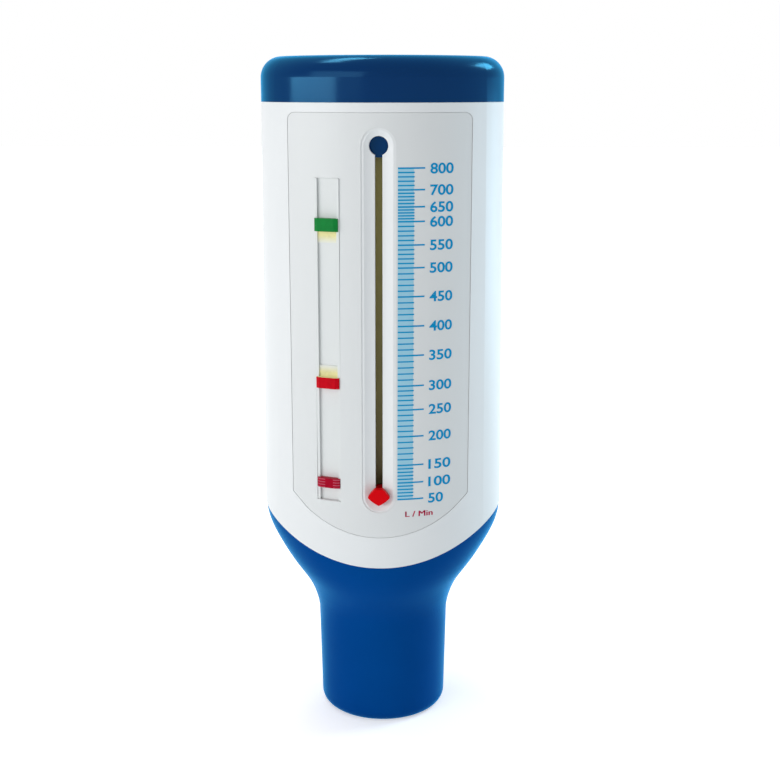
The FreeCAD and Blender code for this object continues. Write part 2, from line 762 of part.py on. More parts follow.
def make_tube_ends():
    """Gasket, spider with the rod's lower hub, and the bulkhead with its upper hub."""
    gasket = new_body("inlet_gasket")
    ring(gasket, "gasket", s.flow_tube_radius - s.gasket_gap, seat_bore_radius, seat, s.gasket_thickness)

    spider = new_body("inlet_spider")
    fit = tube_bore - s.seat_gap
    inner = fit - s.spider_ring_wall
    ring(spider, "flange", s.flow_tube_radius - s.seat_gap, inner, spider_base, s.spider_flange)
    ring(spider, "ring", fit, inner, spider_base, s.spider_flange + s.spider_ring_height)
    arm = new_sketch(spider, "arm_profile", "XY_Plane", offset=spider_base)
    half = s.spider_arm_width / 2
    add_rectangle(arm, 0, inner + s.spider_ring_wall / 2, -half, half)
    first = pad(spider, "arm", arm, s.spider_flange + s.spider_ring_height)
    arms = spider.newObject("PartDesign::PolarPattern", "arms")
    arms.Originals = [first]
    arms.Axis = (arm, ["N_Axis"])
    arms.Angle = 360.0
    arms.Occurrences = int(s.spider_arm_count.value)
    arms.setExpression("Occurrences", s.spider_arm_count.text)
    spider.Tip = arms
    ring(spider, "hub", s.spider_hub_radius, None, hub_top - s.spider_hub_length, s.spider_hub_length)
    bore = new_sketch(spider, "bore_profile", "XY_Plane", offset=hub_top)
    add_circle(bore, s.rod_radius)
    pocket(spider, "bore", bore, s.spider_hub_length)

    bulkhead = new_body("tube_bulkhead")
    ring(bulkhead, "plate", s.flow_tube_radius, s.rod_radius, tube_top, s.bulkhead_thickness)
    ring(bulkhead, "plate_spigot", fit, tube_bore - s.spider_ring_wall,
         tube_top - s.bulkhead_spigot, s.bulkhead_spigot)
    ring(bulkhead, "hub", s.spider_hub_radius, s.rod_radius, bulkhead_top, s.bulkhead_hub_length)
    hole = new_sketch(bulkhead, "relief_profile", "XY_Plane", offset=bulkhead_top)
    add_circle(hole, s.relief_hole_radius, s.relief_circle_radius, 0)
    first = pocket(bulkhead, "relief_hole", hole, s.bulkhead_thickness)
    holes = bulkhead.newObject("PartDesign::PolarPattern", "relief_holes")
    holes.Originals = [first]
    holes.Axis = (hole, ["N_Axis"])
    holes.Angle = 360.0
    holes.Occurrences = int(s.relief_hole_count.value)
    holes.setExpression("Occurrences", s.relief_hole_count.text)
    bulkhead.Tip = holes


def make_rod_and_stops():
    """Guide rod with a clip groove at each end, its clips, and the two rubber stops."""
    rod = new_body("guide_rod")
    profile = new_sketch(rod, "rod_profile", "XZ_Plane")
    radius = s.rod_radius
    groove = s.rod_radius - s.rod_groove_depth
    low = hub_top - s.spider_hub_length
    high = bulkhead_top + s.bulkhead_hub_length
    clip = s.clip_thickness
    points = [(0, rod_base), (radius, rod_base), (radius, low - clip), (groove, low - clip),
              (groove, low), (radius, low), (radius, high), (groove, high),
              (groove, high + clip), (radius, high + clip), (radius, rod_top), (0, rod_top)]
    add_outline(profile, points)
    revolve(rod, "rod", profile)

    clips = new_body("rod_clips")
    ring(clips, "lower_clip", s.clip_radius, groove, low - clip, clip)
    ring(clips, "upper_clip", s.clip_radius, groove, high, clip)

    lower = new_body("lower_stop")
    ring(lower, "stop", s.lower_stop_radius, radius, hub_top, s.lower_stop_thickness)
    seat_washer = new_body("spring_seat_washer")
    ring(seat_washer, "washer", s.spring_seat_radius, radius, spring_top, s.spring_seat_thickness)
    upper = new_body("upper_stop")
    ring(upper, "stop", s.upper_stop_radius, radius, upper_stop_base, spring_top - upper_stop_base)


def make_return_spring():
    """The long light compression spring between the piston and the upper seat."""
    thick = s.spring_wire.value / 2
    low = disc_top.value + thick
    rise = spring_top.value - thick - low
    steps = SPRING_STEPS * int(s.spring_turns.value)
    sections = []
    for step in range(steps + 1):
        turn = math.radians(360 * step / SPRING_STEPS)
        outward = Vector(math.cos(turn), math.sin(turn), 0)
        centre = outward * s.spring_radius.value + Vector(0, 0, low + rise * step / steps)
        corners = [centre + (outward * math.cos(angle) + Vector(0, 0, math.sin(angle))) * thick
                   for angle in (math.radians(60 * side) for side in range(6))]
        sections.append(Part.makePolygon(corners + corners[:1]))
    spring = doc.addObject("Part::Feature", "return_spring")
    spring.Label = "return_spring"
    spring.Shape = Part.makeLoft(sections, True, True)
    spring.Placement = Placement(Vector(0, 0, 0), Rotation())
    nodes.append(spring)


def make_piston():
    """The piston: cup-rimmed disc, bush on the rod, push nut, and the finger with its rivets."""
    disc = new_body("piston_disc")
    place(disc, turn=s.metering_turn)
    radius = tube_bore - s.piston_gap
    ring(disc, "web", radius, s.bush_radius, disc_base, s.piston_thickness)
    ring(disc, "rim", radius, radius - s.piston_rim_wall, disc_base - s.piston_rim_height,
         s.piston_rim_height + s.piston_thickness / 2)

    bush = new_body("piston_bush")
    bore = s.rod_radius + s.bush_bore_gap
    ring(bush, "flange", s.bush_flange_radius, bore, bush_base, s.bush_flange)
    ring(bush, "sleeve", s.bush_radius, bore, bush_base, s.bush_length)

    nut = new_body("piston_push_nut")
    ring(nut, "nut", s.push_nut_radius, s.bush_radius, disc_top, s.push_nut_thickness)

    # The finger runs out through the flow tube's slot and turns up behind the casing's slot
    finger = new_body("pusher_finger")
    place(finger, turn=s.metering_turn)
    half = s.finger_width / 2
    neck = s.finger_neck / 2
    inside = tube_bore - s.finger_bore_gap
    outside = s.flow_tube_radius + s.finger_tube_gap
    reach = inner_half_depth - s.finger_wall_gap
    left = half + s.finger_side_reach
    plan = new_sketch(finger, "plan_profile", "XY_Plane", offset=disc_top)
    points = [(-half, -s.finger_root), (-half, -inside), (-neck, -inside), (-neck, -outside),
              (-left, -outside), (-left, -reach), (half, -reach), (half, -outside),
              (neck, -outside), (neck, -inside), (half, -inside), (half, -s.finger_root)]
    add_outline(plan, points)
    pad(finger, "strip", plan, s.finger_thickness)
    tip = new_sketch(finger, "tip_profile", "XY_Plane", offset=disc_top)
    add_rectangle(tip, -left, half, -reach, -outside)
    tip_top = pointer_rest - s.pointer_foot_radius - s.pointer_gap
    pad(finger, "tip", tip, tip_top - disc_top)
    first_rivet = s.finger_root + s.rivet_inset
    for number, place_y in enumerate((first_rivet, first_rivet + s.rivet_pitch)):
        hole = new_sketch(finger, f"rivet_hole_{number}_profile", "XY_Plane",
                          offset=disc_top + s.finger_thickness)
        add_circle(hole, s.rivet_radius, 0, -place_y)
        pocket(finger, f"rivet_hole_{number}", hole, s.finger_thickness)
        disc_hole = new_sketch(disc, f"rivet_hole_{number}_profile", "XY_Plane", offset=disc_top)
        add_circle(disc_hole, s.rivet_radius, 0, -place_y)
        pocket(disc, f"rivet_hole_{number}", disc_hole, s.piston_thickness)

    rivets = new_body("finger_rivets")
    place(rivets, turn=s.metering_turn)
    for number, place_y in enumerate((first_rivet, first_rivet + s.rivet_pitch)):
        levels = (("shank", s.rivet_radius, disc_base, s.piston_thickness + s.finger_thickness),
                  ("head", s.rivet_head_radius, disc_top + s.finger_thickness, s.rivet_head),
                  ("tail", s.rivet_head_radius, disc_base - s.rivet_head, s.rivet_head))
        for name, rivet_radius, level, height in levels:
            profile = new_sketch(rivets, f"{name}_{number}_profile", "XY_Plane", offset=level)
            add_circle(profile, rivet_radius, 0, -place_y)
            pad(rivets, f"{name}_{number}", profile, height)


def make_pointer():
    """The red pointer: knob in the groove, neck in the slot, round foot behind the wall."""
    pointer = new_body("pointer")
    place(pointer, z=pointer_rest)
    back = rest_depth - s.groove_depth + s.pointer_gap * 2
    half = s.pointer_width / 2
    crown = s.pointer_neck_width / 2 + s.pointer_crown
    knob = new_sketch(pointer, "knob_profile", "XZ_Plane", offset=back)
    points = [(-crown, s.pointer_top), (-half, 0), (0, -s.pointer_bottom), (half, 0),
              (crown, s.pointer_top)]
    bulge = s.pointer_width * s.pointer_bulge
    add_outline(knob, points, {0: (bulge, 1), 1: (bulge, 1), 2: (bulge, 1), 3: (bulge, 1)})
    pad(pointer, "knob", knob, s.pointer_thickness)
    foot_front = inner_half_depth - s.pointer_gap
    neck = new_sketch(pointer, "neck_profile", "XZ_Plane", offset=foot_front - s.pointer_neck_join)
    half_neck = s.pointer_neck_width / 2
    half_height = s.pointer_neck_height / 2
    add_rectangle(neck, -half_neck, half_neck, -half_height, half_height)
    pad(pointer, "neck", neck, back - foot_front + s.pointer_neck_join * 3)
    foot = new_sketch(pointer, "foot_profile", "XZ_Plane", offset=foot_front - s.pointer_foot_thickness)
    add_circle(foot, s.pointer_foot_radius)
    pad(pointer, "foot", foot, s.pointer_foot_thickness)

    washer = new_body("pointer_friction_washer")
    place(washer, z=pointer_rest)
    profile = new_sketch(washer, "washer_profile", "XZ_Plane", offset=back - s.washer_thickness)
    add_circle(profile, s.washer_radius)
    add_circle(profile, s.washer_bore)
    pad(washer, "washer", profile, s.washer_thickness)


def make_track():
    """The channel in the casing's front and the three zone markers that slide in it."""
    spot = {"x": -s.track_offset, "y": -s.track_reach, "turn": -s.track_tilt}
    rail = new_body("marker_rail")
    place(rail, z=track_base + s.rail_gap, **spot)
    section = new_sketch(rail, "rail_section", "XY_Plane")
    outer = s.track_half_width - s.rail_gap
    cavity = outer - s.rail_wall
    mouth = s.rail_mouth_half_width
    face = s.rail_gap
    lip = face + s.rail_lip
    floor = s.track_depth - s.rail_floor
    points = [(-outer, s.track_depth), (-outer, face), (-mouth, face), (-mouth, lip), (-cavity, lip),
              (-cavity, floor), (cavity, floor), (cavity, lip), (mouth, lip), (mouth, face),
              (outer, face), (outer, s.track_depth)]
    add_outline(section, points)
    pad(rail, "rail", section, s.track_length - s.rail_gap * 2)

    play = s.marker_play
    half = s.marker_half_width
    base = cavity - play
    neck = mouth - play
    bottom = floor - play
    shelf = lip + play
    under = face - play
    crown = -s.marker_stand
    brow = crown / 2
    facet = s.marker_facet
    markers = (("green_zone_marker", s.green_marker_rise, s.marker_height, -1),
               ("amber_zone_marker", s.amber_marker_rise, s.marker_height - s.marker_step, 1),
               ("red_zone_marker", s.red_marker_rise, s.marker_height - s.marker_step * 2, 0))
    for label, rise, height, tongue_side in markers:
        marker = new_body(label)
        place(marker, z=side_edge + rise, **spot)
        section = new_sketch(marker, "marker_section", "XY_Plane")
        points = [(-base, bottom), (-base, shelf), (-neck, shelf), (-neck, under), (-half, under),
                  (-half, brow), (facet - half, crown), (half - facet, crown), (half, brow),
                  (half, under), (neck, under), (neck, shelf), (base, shelf), (base, bottom)]
        add_outline(section, points)
        pad(marker, "head", section, height)
        if tongue_side:
            level = height if tongue_side > 0 else -s.marker_tongue
            tongue = new_sketch(marker, "tongue_section", "XY_Plane", offset=level)
            add_rectangle(tongue, -base, base, shelf, bottom)
            pad(marker, "tongue", tongue, s.marker_tongue)


make_outer_casing()
make_scale_panel()
make_top_cap()
make_mouthpiece()
make_flow_tube()
make_tube_ends()
make_rod_and_stops()
make_return_spring()
make_piston()
make_pointer()
make_track()
doc.recompute()

CUTS = ("PartDesign::Pocket", "PartDesign::Groove", "PartDesign::SubtractiveLoft")


def volume(item):
    return 0.0 if item.Shape.isNull() else item.Shape.Volume


faults = []
for item in doc.Objects:
    if "Invalid" in item.State or "Error" in item.State:
        faults.append(f"{item.Label}: {item.State}")
    elif item.TypeId in CUTS and volume(item) > volume(item.BaseFeature) - 0.001:
        faults.append(f"{item.Label}: cuts nothing")
for node in nodes:
    if node.Shape.isNull() or not node.Shape.isValid():
        faults.append(f"{node.Label}: no valid shape")
if faults:
    raise RuntimeError("; ".join(faults))

os.makedirs("parts", exist_ok=True)
for node in nodes:
    node.Shape.exportStep(os.path.join("parts", f"{node.Label}.step"))
    print(f"{node.Label}: {len(node.Shape.Solids)} solids, {node.Shape.Volume:.1f} mm3")
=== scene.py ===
import math

import bmesh
import bpy
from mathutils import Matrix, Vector
from mathutils.bvhtree import BVHTree


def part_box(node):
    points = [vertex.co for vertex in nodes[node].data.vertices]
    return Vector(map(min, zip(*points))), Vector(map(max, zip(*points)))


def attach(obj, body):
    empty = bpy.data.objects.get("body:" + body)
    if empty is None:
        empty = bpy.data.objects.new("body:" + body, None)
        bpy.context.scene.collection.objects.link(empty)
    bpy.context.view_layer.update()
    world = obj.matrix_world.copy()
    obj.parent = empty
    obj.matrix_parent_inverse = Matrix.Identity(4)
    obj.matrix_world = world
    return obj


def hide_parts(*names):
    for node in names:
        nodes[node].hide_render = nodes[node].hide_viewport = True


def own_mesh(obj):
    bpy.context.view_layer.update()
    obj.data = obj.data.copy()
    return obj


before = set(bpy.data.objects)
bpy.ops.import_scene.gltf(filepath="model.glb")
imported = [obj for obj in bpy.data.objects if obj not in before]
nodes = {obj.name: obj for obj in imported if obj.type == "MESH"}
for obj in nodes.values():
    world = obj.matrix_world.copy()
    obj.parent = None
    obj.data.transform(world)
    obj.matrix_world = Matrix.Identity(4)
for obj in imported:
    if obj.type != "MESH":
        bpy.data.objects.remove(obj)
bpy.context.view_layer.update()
MM = 0.001
scene = bpy.context.scene
collection = scene.collection


# Shader nodes: each function adds nodes to a tree and returns the socket that holds the result

def computed(tree, operation, first, second=None, clamp=False):
    """A sum, product or the like. Each operand is a socket or a number."""
    node = tree.nodes.new("ShaderNodeMath")
    node.operation = operation
    node.use_clamp = clamp
    for operand, socket in zip((first, second), node.inputs):
        if isinstance(operand, bpy.types.NodeSocket):
            tree.links.new(operand, socket)
        elif operand is not None:
            socket.default_value = operand
    return node.outputs["Value"]


def place(tree):
    """The place in the frame, in metres."""
    return tree.nodes.new("ShaderNodeTexCoord").outputs["Object"]


def place_along(tree, axis):
    parts = tree.nodes.new("ShaderNodeSeparateXYZ")
    tree.links.new(place(tree), parts.inputs["Vector"])
    return parts.outputs[axis]


def spread(tree, value, to_low, to_high, low=0.0, high=1.0):
    """A value that runs from low to high, made to run from to_low to to_high."""
    node = tree.nodes.new("ShaderNodeMapRange")
    node.inputs["From Min"].default_value = low
    node.inputs["From Max"].default_value = high
    node.inputs["To Min"].default_value = to_low
    node.inputs["To Max"].default_value = to_high
    tree.links.new(value, node.inputs["Value"])
    return node.outputs["Result"]


def height_between(tree, low, high):
    """0 at one height and 1 at the other, in metres."""
    return spread(tree, place_along(tree, "Z"), 0.0, 1.0, low, high)


def noise(tree, scale, detail):
    node = tree.nodes.new("ShaderNodeTexNoise")
    node.inputs["Scale"].default_value = scale
    node.inputs["Detail"].default_value = detail
    tree.links.new(place(tree), node.inputs["Vector"])
    return node.outputs["Fac"]


def ramp(tree, stops, factor):
    node = tree.nodes.new("ShaderNodeValToRGB")
    elements = node.color_ramp.elements
    while len(elements) < len(stops):
        elements.new(0.5)
    for element, (position, color) in zip(elements, stops):
        element.position = position
        element.color = (*color, 1)
    tree.links.new(factor, node.inputs["Fac"])
    return node.outputs["Color"]


def clouded(tree, dark, light, cloud):
    """Two near tones, mixed by a noise that seldom leaves the middle of its range."""
    return ramp(tree, [(0.3, dark), (0.7, light)], cloud)


def mixed(tree, factor, first, second):
    node = tree.nodes.new("ShaderNodeMix")
    node.data_type = "RGBA"
    tree.links.new(factor, node.inputs["Factor"])
    first_color, second_color = (socket for socket in node.inputs if socket.type == "RGBA")
    tree.links.new(first, first_color)
    tree.links.new(second, second_color)
    return next(socket for socket in node.outputs if socket.type == "RGBA")


def bump(tree, height, strength, distance, normal=None):
    node = tree.nodes.new("ShaderNodeBump")
    node.inputs["Strength"].default_value = strength
    node.inputs["Distance"].default_value = distance
    tree.links.new(height, node.inputs["Height"])
    if normal is not None:
        tree.links.new(normal, node.inputs["Normal"])
    return node.outputs["Normal"]


# Materials

WAVE_HEIGHT = 0.001
GRAIN_HEIGHT = 0.0001
FINE_GRAIN = 1500
PRINT_GRAIN = 3000
MARKER_CLOUD = 900
MARKER_SHADE = 0.86
RIB_PITCH = 0.00062


def shader_of(material):
    return material.node_tree.nodes["Principled BSDF"]


def plastic(name, light, dark, roughness=(0.25, 0.35), grain=900, depth=0.03, flow=60, wave=0.02,
            edge=0.0, **sockets):
    """Moulded plastic: cloudy colour, uneven gloss, fine skin grain and a faint flow wave."""
    made = bpy.data.materials.new(name)
    made.use_nodes = True
    tree = made.node_tree
    shader = shader_of(made)
    color = clouded(tree, dark, light, noise(tree, flow, 4))
    tree.links.new(color, shader.inputs["Base Color"])
    tree.links.new(spread(tree, noise(tree, flow * 3, 5), *roughness), shader.inputs["Roughness"])
    normal = None
    if edge:
        rounding = tree.nodes.new("ShaderNodeBevel")
        rounding.inputs["Radius"].default_value = edge
        normal = rounding.outputs["Normal"]
    normal = bump(tree, noise(tree, flow * 0.5, 2), wave, WAVE_HEIGHT, normal)
    normal = bump(tree, noise(tree, grain, 2), depth, GRAIN_HEIGHT, normal)
    tree.links.new(normal, shader.inputs["Normal"])
    for socket, value in sockets.items():
        shader.inputs[socket.replace("_", " ")].default_value = value
    return made


def glossy(level, tint):
    """How strongly a plastic's skin mirrors, and in which colour."""
    return {"Specular_IOR_Level": level, "Specular_Tint": (*tint, 1)}


def metal(name, light, dark):
    """Drawn or turned metal with a finer, deeper grain."""
    made = plastic(name, light, dark, (0.2, 0.35), grain=300, depth=0.1, flow=200, wave=0.0)
    shader_of(made).inputs["Metallic"].default_value = 1.0
    return made


def graded_by_height(material, low, high, stops):
    """Paint shade into a plastic from one height to another: a painted gradient of light and
    shade, with a little of its clouds kept.
    """
    tree = material.node_tree
    base = shader_of(material).inputs["Base Color"]
    clouds = base.links[0].from_socket
    share = spread(tree, noise(tree, 200, 3), 0.75, 0.95)
    painted_shade = ramp(tree, stops, height_between(tree, low, high))
    tree.links.new(mixed(tree, share, clouds, painted_shade), base)


def marker_plastic(name, skin, level, below, above, fade=None, rib_highlights=None):
    """A marker's plastic, in one colour below a level in metres and in another above it.

    fade: the height where its tongue begins to pale, where it is all pale, and the pale colour.
    rib_highlights: painted highlights on the crests of grip ribs, given as the middle in x, how
    far from it they begin, and their colour.
    """
    made = plastic(name, above, below, (0.3, 0.4), grain=FINE_GRAIN, **skin)
    tree = made.node_tree
    height = place_along(tree, "Z")
    cloud = noise(tree, MARKER_CLOUD, 3)
    tones = []
    for color in (below, above):
        shade = tuple(channel * MARKER_SHADE for channel in color)
        tones.append(clouded(tree, shade, color, cloud))
    blend = mixed(tree, computed(tree, "GREATER_THAN", height, level), *tones)
    # Pale stripes on both sides: painted highlights where light catches grip ribs.
    if rib_highlights is not None:
        middle, half, color = rib_highlights
        aside = computed(tree, "SUBTRACT", place_along(tree, "X"), middle)
        outside = computed(tree, "GREATER_THAN", computed(tree, "ABSOLUTE", aside), half)
        wave = computed(tree, "SINE", computed(tree, "MULTIPLY", height, 2 * math.pi / RIB_PITCH))
        painted_crest = computed(tree, "MULTIPLY", wave, outside, clamp=True)
        blend = mixed(tree, painted_crest, blend, clouded(tree, color, color, cloud))
    if fade is not None:
        full, gone, color = fade
        pale = clouded(tree, color, color, cloud)
        blend = mixed(tree, height_between(tree, full, gone), blend, pale)
    tree.links.new(blend, shader_of(made).inputs["Base Color"])
    return made


PALE_SKIN = glossy(0.3, (1, 1, 1))
RED_SKIN = glossy(0.06, (1.0, 0.8, 0.8))
GREEN_SKIN = glossy(0.08, (0.7, 1.0, 0.8))
INK_SKIN = glossy(0.08, (0.6, 0.9, 1.0))
EDGE_SHINE = {"Sheen_Weight": 1.0, "Sheen_Roughness": 0.3, "Sheen_Tint": (0.0, 0.5, 1.0, 1),
              "Coat_Weight": 1.0, "Coat_IOR": 1.03, "Coat_Roughness": 0.2,
              "Coat_Tint": (0.35, 0.83, 1.0, 1)}

white = plastic("casing_white", (0.80, 0.815, 0.815), (0.79, 0.805, 0.805), (0.36, 0.42),
                wave=0.004, edge=0.0002, **PALE_SKIN)
track = plastic("track_white", (0.75, 0.77, 0.76), (0.74, 0.76, 0.75), (0.42, 0.44), wave=0.0,
                **PALE_SKIN)
film = plastic("panel_film", (0.735, 0.75, 0.745), (0.725, 0.74, 0.735), (0.36, 0.42),
               grain=2500, depth=0.04, flow=30, wave=0.003, **PALE_SKIN)
blue = plastic("mouthpiece_blue", (0.0, 0.068, 0.258), (0.0, 0.062, 0.238), (0.20, 0.28),
               wave=0.006, **glossy(0.08, (0.3, 0.8, 1.0)), **EDGE_SHINE)
cap_blue = plastic("cap_blue", (0.0, 0.022, 0.103), (0.0, 0.020, 0.094), (0.14, 0.20),
                   wave=0.006, **glossy(0.35, (0.5, 0.75, 1.0)), **EDGE_SHINE)
tube = plastic("tube_olive", (0.60, 0.50, 0.14), (0.54, 0.45, 0.12), (0.4, 0.5))
# The flow tube is painted darker towards its bottom: painted shade behind the slot.
graded_by_height(tube, 0.062, 0.118, [(0.0, (0.24, 0.17, 0.07)), (0.35, (0.42, 0.35, 0.11)),
                                      (1.0, (0.60, 0.52, 0.16))])
acetal = plastic("natural_acetal", (0.66, 0.65, 0.6), (0.6, 0.59, 0.54), (0.4, 0.5))
rubber = plastic("seal_rubber", (0.03, 0.03, 0.032), (0.02, 0.02, 0.022), (0.6, 0.75))
steel = metal("polished_steel", (0.65, 0.65, 0.66), (0.58, 0.58, 0.59))
spring_steel = metal("spring_steel", (0.5, 0.5, 0.51), (0.42, 0.42, 0.43))
aluminium = metal("rivet_aluminium", (0.75, 0.75, 0.75), (0.68, 0.68, 0.68))
piston = plastic("piston_olive", (0.12, 0.1, 0.04), (0.1, 0.08, 0.03), (0.35, 0.45))
red = plastic("pointer_red", (0.72, 0.002, 0.006), (0.62, 0.001, 0.004), (0.3, 0.4), edge=0.0002,
              **glossy(0.06, (1.0, 0.6, 0.6)))

YELLOW = (0.86, 0.80, 0.42)
PALE_END = (0.80, 0.81, 0.74)
DARK_RED = (0.40, 0.001, 0.02)
MARKER_X = -0.01125
green_mark = marker_plastic("green_mark", GREEN_SKIN, 0.1176, YELLOW, (0.008, 0.22, 0.04),
                            fade=(0.1166, 0.1151, PALE_END))
amber_mark = marker_plastic("amber_mark", RED_SKIN, 0.08554, (0.60, 0.001, 0.010), YELLOW,
                            fade=(0.0865, 0.0879, PALE_END))
# The red marker's pale stripes are painted highlights on its grip ribs.
red_mark = marker_plastic("red_mark", RED_SKIN, 0.0, DARK_RED, DARK_RED,
                          rib_highlights=(MARKER_X, 0.0009, (0.50, 0.10, 0.15)))

ink = plastic("scale_ink", (0.005, 0.30, 0.60), (0.004, 0.28, 0.57), (0.35, 0.45),
              grain=PRINT_GRAIN, **INK_SKIN)
unit_ink = plastic("unit_ink", (0.52, 0.01, 0.07), (0.48, 0.01, 0.06), (0.35, 0.45),
                   grain=PRINT_GRAIN, **RED_SKIN)
tint = plastic("scale_tint", (0.36, 0.63, 0.76), (0.32, 0.59, 0.72), (0.35, 0.45),
               grain=PRINT_GRAIN, **INK_SKIN)

FINISHES = {
    "outer_casing": white, "scale_panel": film, "top_cap": cap_blue, "mouthpiece": blue,
    "flow_tube": tube, "inlet_gasket": rubber, "inlet_spider": acetal, "tube_bulkhead": acetal,
    "guide_rod": steel, "rod_clips": spring_steel, "lower_stop": rubber,
    "spring_seat_washer": acetal, "upper_stop": acetal, "return_spring": spring_steel,
    "piston_disc": piston, "piston_bush": acetal, "piston_push_nut": spring_steel,
    "pusher_finger": steel, "finger_rivets": aluminium, "pointer": red,
    "pointer_friction_washer": acetal, "marker_rail": track,
    "green_zone_marker": green_mark, "amber_zone_marker": amber_mark, "red_zone_marker": red_mark,
}
for label, finish in FINISHES.items():
    materials = nodes[label].data.materials
    materials.clear()
    materials.append(finish)


# Pieces that the scene adds

def finished(name, made):
    mesh = bpy.data.meshes.new(name)
    made.to_mesh(mesh)
    made.free()
    return mesh


def add_piece(name, mesh, body, material):
    piece = bpy.data.objects.new(name, mesh)
    collection.objects.link(piece)
    mesh.materials.append(material)
    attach(piece, body)
    return piece


# The scale's print, in millimetres: x across the front and z up from the lip

SCALE = [(50, 58.1), (100, 61.95), (150, 66.0), (200, 72.55), (250, 78.6), (300, 84.0),
         (350, 90.77), (400, 97.25), (450, 103.7), (500, 109.95), (550, 114.85), (600, 119.85),
         (650, 122.96), (700, 126.56), (800, 131.1)]
INTERVALS = 5
SCALE_LEFT = 4.1
BAND_RIGHT = 7.5
SHORT_LINE_RIGHT = 7.65
LONG_LINE_RIGHT = 9.85
SHORT_LINE_HALF = 0.15
LONG_LINE_HALF = 0.17
BAND_LIFT = 0.02
INK_LIFT = 0.04
STRIP_COLUMNS = 8
BAND_ROWS = 60

NUMBER_LEFT = 10.95
NUMBER_RIGHT = {2: 14.3, 3: 15.9}
NUMBER_DROP = 0.1
NUMBER_HEIGHT = 2.3
NUMBER_WEIGHT = 0.022
UNIT_LEFT = 5.85
UNIT_RIGHT = 11.9
UNIT_LEVEL = 54.6
UNIT_HEIGHT = 1.3
UNIT_OVERPRINT = 0.1

film_surface = BVHTree.FromObject(nodes["scale_panel"], bpy.context.evaluated_depsgraph_get())


def on_film(x, z, lift):
    """The point that lies a given height over the film's front."""
    hit, normal, _, _ = film_surface.ray_cast(Vector((x * MM, -0.1, z * MM)), Vector((0, 1, 0)))
    if hit is None:
        raise ValueError(f"no film at {x}, {z}")
    return hit + normal * (lift * MM)


def film_strip(made, x_low, x_high, z_low, z_high, lift, rows=1):
    """A grid of faces that follows the curved film."""
    grid = []
    for row in range(rows + 1):
        z = z_low + (z_high - z_low) * row / rows
        line = []
        for column in range(STRIP_COLUMNS + 1):
            x = x_low + (x_high - x_low) * column / STRIP_COLUMNS
            line.append(made.verts.new(on_film(x, z, lift)))
        grid.append(line)
    for below, above in zip(grid, grid[1:]):
        for k in range(STRIP_COLUMNS):
            made.faces.new((below[k], below[k + 1], above[k + 1], above[k]))


def scale_line(made, right, level, half):
    film_strip(made, SCALE_LEFT, right, level - half, level + half, INK_LIFT)


def scale_lines():
    """A long line at each number, and short ones between."""
    made = bmesh.new()
    for number, (_, level) in enumerate(SCALE):
        scale_line(made, LONG_LINE_RIGHT, level, LONG_LINE_HALF)
        if number + 1 < len(SCALE):
            step = (SCALE[number + 1][1] - level) / INTERVALS
            for k in range(1, INTERVALS):
                scale_line(made, SHORT_LINE_RIGHT, level + step * k, SHORT_LINE_HALF)
    return finished("scale_ticks", made)


def scale_band():
    """The pale band behind the lines."""
    made = bmesh.new()
    film_strip(made, SCALE_LEFT, BAND_RIGHT, SCALE[0][1], SCALE[-1][1], BAND_LIFT, rows=BAND_ROWS)
    return finished("scale_band", made)


def lettering(name, lines, height, weight=0.0):
    """Flat text laid on the curved film. Each line is text, left x, right x and middle z."""
    made = bmesh.new()
    for text, left, right, middle in lines:
        curve = bpy.data.curves.new(name, "FONT")
        curve.body = text
        curve.offset = weight
        curve.resolution_u = 6
        holder = bpy.data.objects.new(name, curve)
        collection.objects.link(holder)
        bpy.context.view_layer.update()
        flat = bpy.data.meshes.new_from_object(holder)
        bpy.data.objects.remove(holder)
        xs = [v.co.x for v in flat.vertices]
        ys = [v.co.y for v in flat.vertices]
        x_scale = (right - left) / (max(xs) - min(xs))
        z_scale = height / (max(ys) - min(ys))
        start = len(made.verts)
        made.from_mesh(flat)
        made.verts.ensure_lookup_table()
        for vertex in made.verts[start:]:
            x = left + (vertex.co.x - min(xs)) * x_scale
            z = middle + (vertex.co.y - (max(ys) + min(ys)) / 2) * z_scale
            vertex.co = on_film(x, z, INK_LIFT)
        bpy.data.meshes.remove(flat)
    return finished(name, made)


numbers = [(str(value), NUMBER_LEFT, NUMBER_RIGHT[len(str(value))], level - NUMBER_DROP)
           for value, level in SCALE]
# The unit is printed twice, side by side, because a text weight breaks its small letters
unit = [("L / Min", UNIT_LEFT + shift, UNIT_RIGHT + shift, UNIT_LEVEL)
        for shift in (0, UNIT_OVERPRINT)]
number_mesh = lettering("scale_numbers", numbers, NUMBER_HEIGHT, NUMBER_WEIGHT)
unit_mesh = lettering("scale_unit", unit, UNIT_HEIGHT)
add_piece("scale_band", scale_band(), "housing", tint)
add_piece("scale_lines", scale_lines(), "housing", ink)
add_piece("scale_numbers", number_mesh, "housing", ink)
add_piece("scale_unit", unit_mesh, "housing", unit_ink)


# The mouthpiece with its shoulder narrowed to the photo's straighter outline, in millimetres

SHOULDER_FOOT = 25.5
SHOULDER_PITCH = 2.5
SHOULDER_SHARES = (1.0, 0.986, 0.963, 0.939, 0.943, 0.950, 0.955, 0.966, 0.982, 0.994, 1.0)
AVERAGED_EACH_WAY = 4
AVERAGED_STEP = 0.375
CUTS = 52
CUT_PITCH = 0.5
EDGE_LOW = 41.9
EDGE_RADIUS = 44.0
EDGE_MARGIN = 0.05
EDGE_GAP = 0.08
INNER_RADIUS = 15.4
SAME_POINT = 0.000001
SHARP_ANGLE = 30


